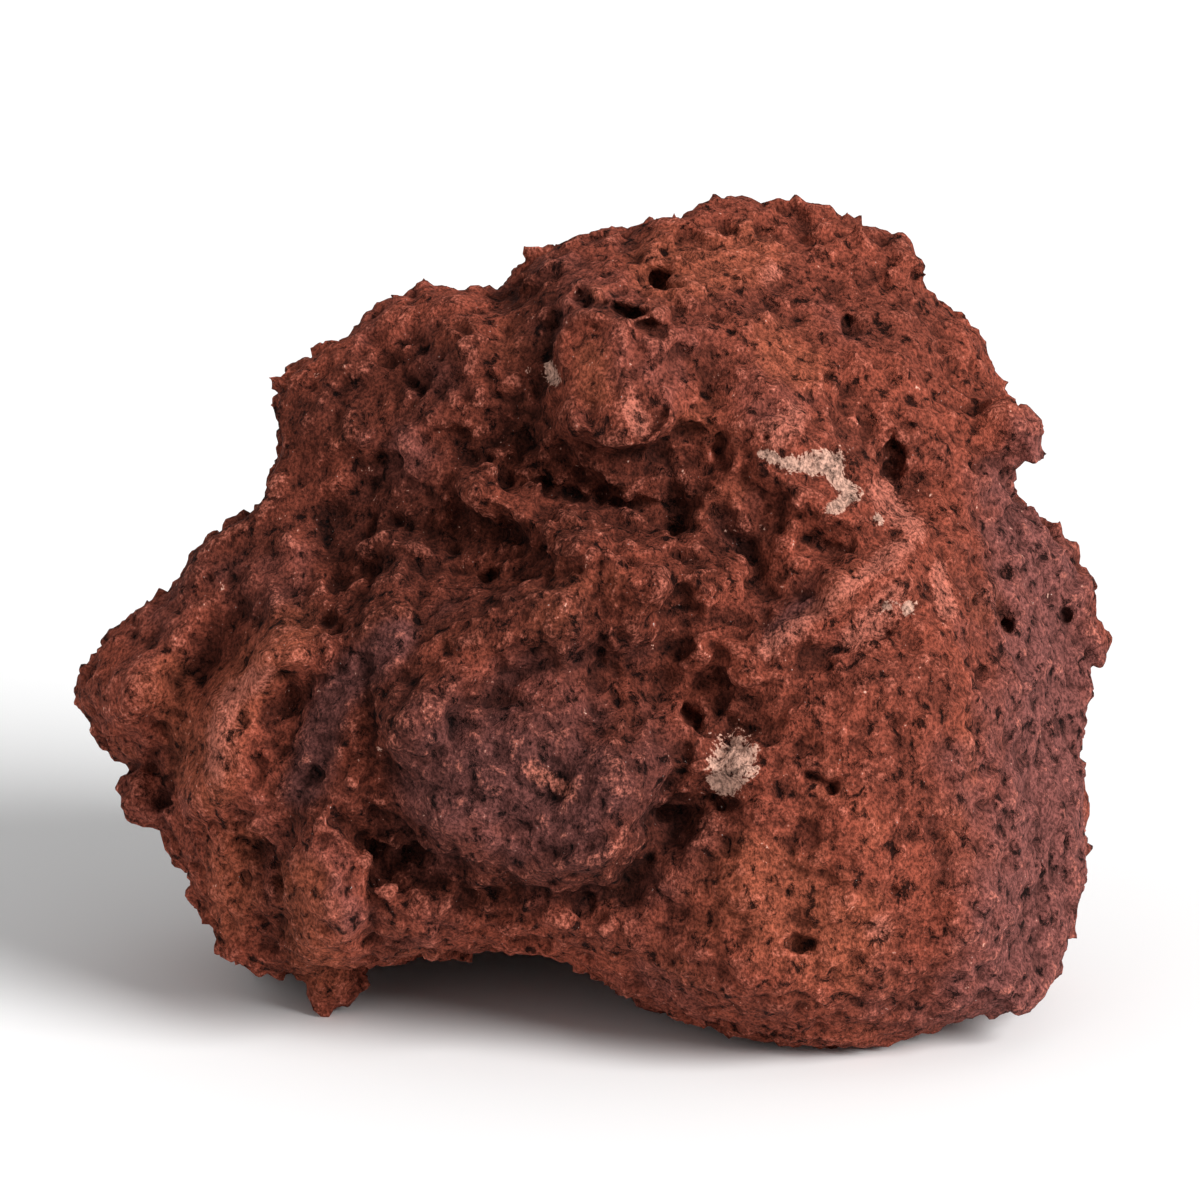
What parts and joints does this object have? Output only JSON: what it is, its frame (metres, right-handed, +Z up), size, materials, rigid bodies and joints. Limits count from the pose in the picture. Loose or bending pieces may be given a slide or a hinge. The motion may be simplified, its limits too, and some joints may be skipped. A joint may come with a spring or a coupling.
{
  "type": "lava rock",
  "caption": "Rough lump of red scoria with a beaked brow over a hollow, folded ridges, gas pits and a worn underside to rest on.",
  "frame": {"origin": "middle of the rock's box, on the plane that it rests on", "axes": "+Z up, +X along the rock's width to the right as seen from the front, the front looks along -Y"},
  "size_m": [0.2076, 0.1516, 0.1568],
  "materials": {
    "scoria": "rough"
  },
  "bodies": {
    "root": {"lava_rock": "scoria"}
  },
  "joints": []
}
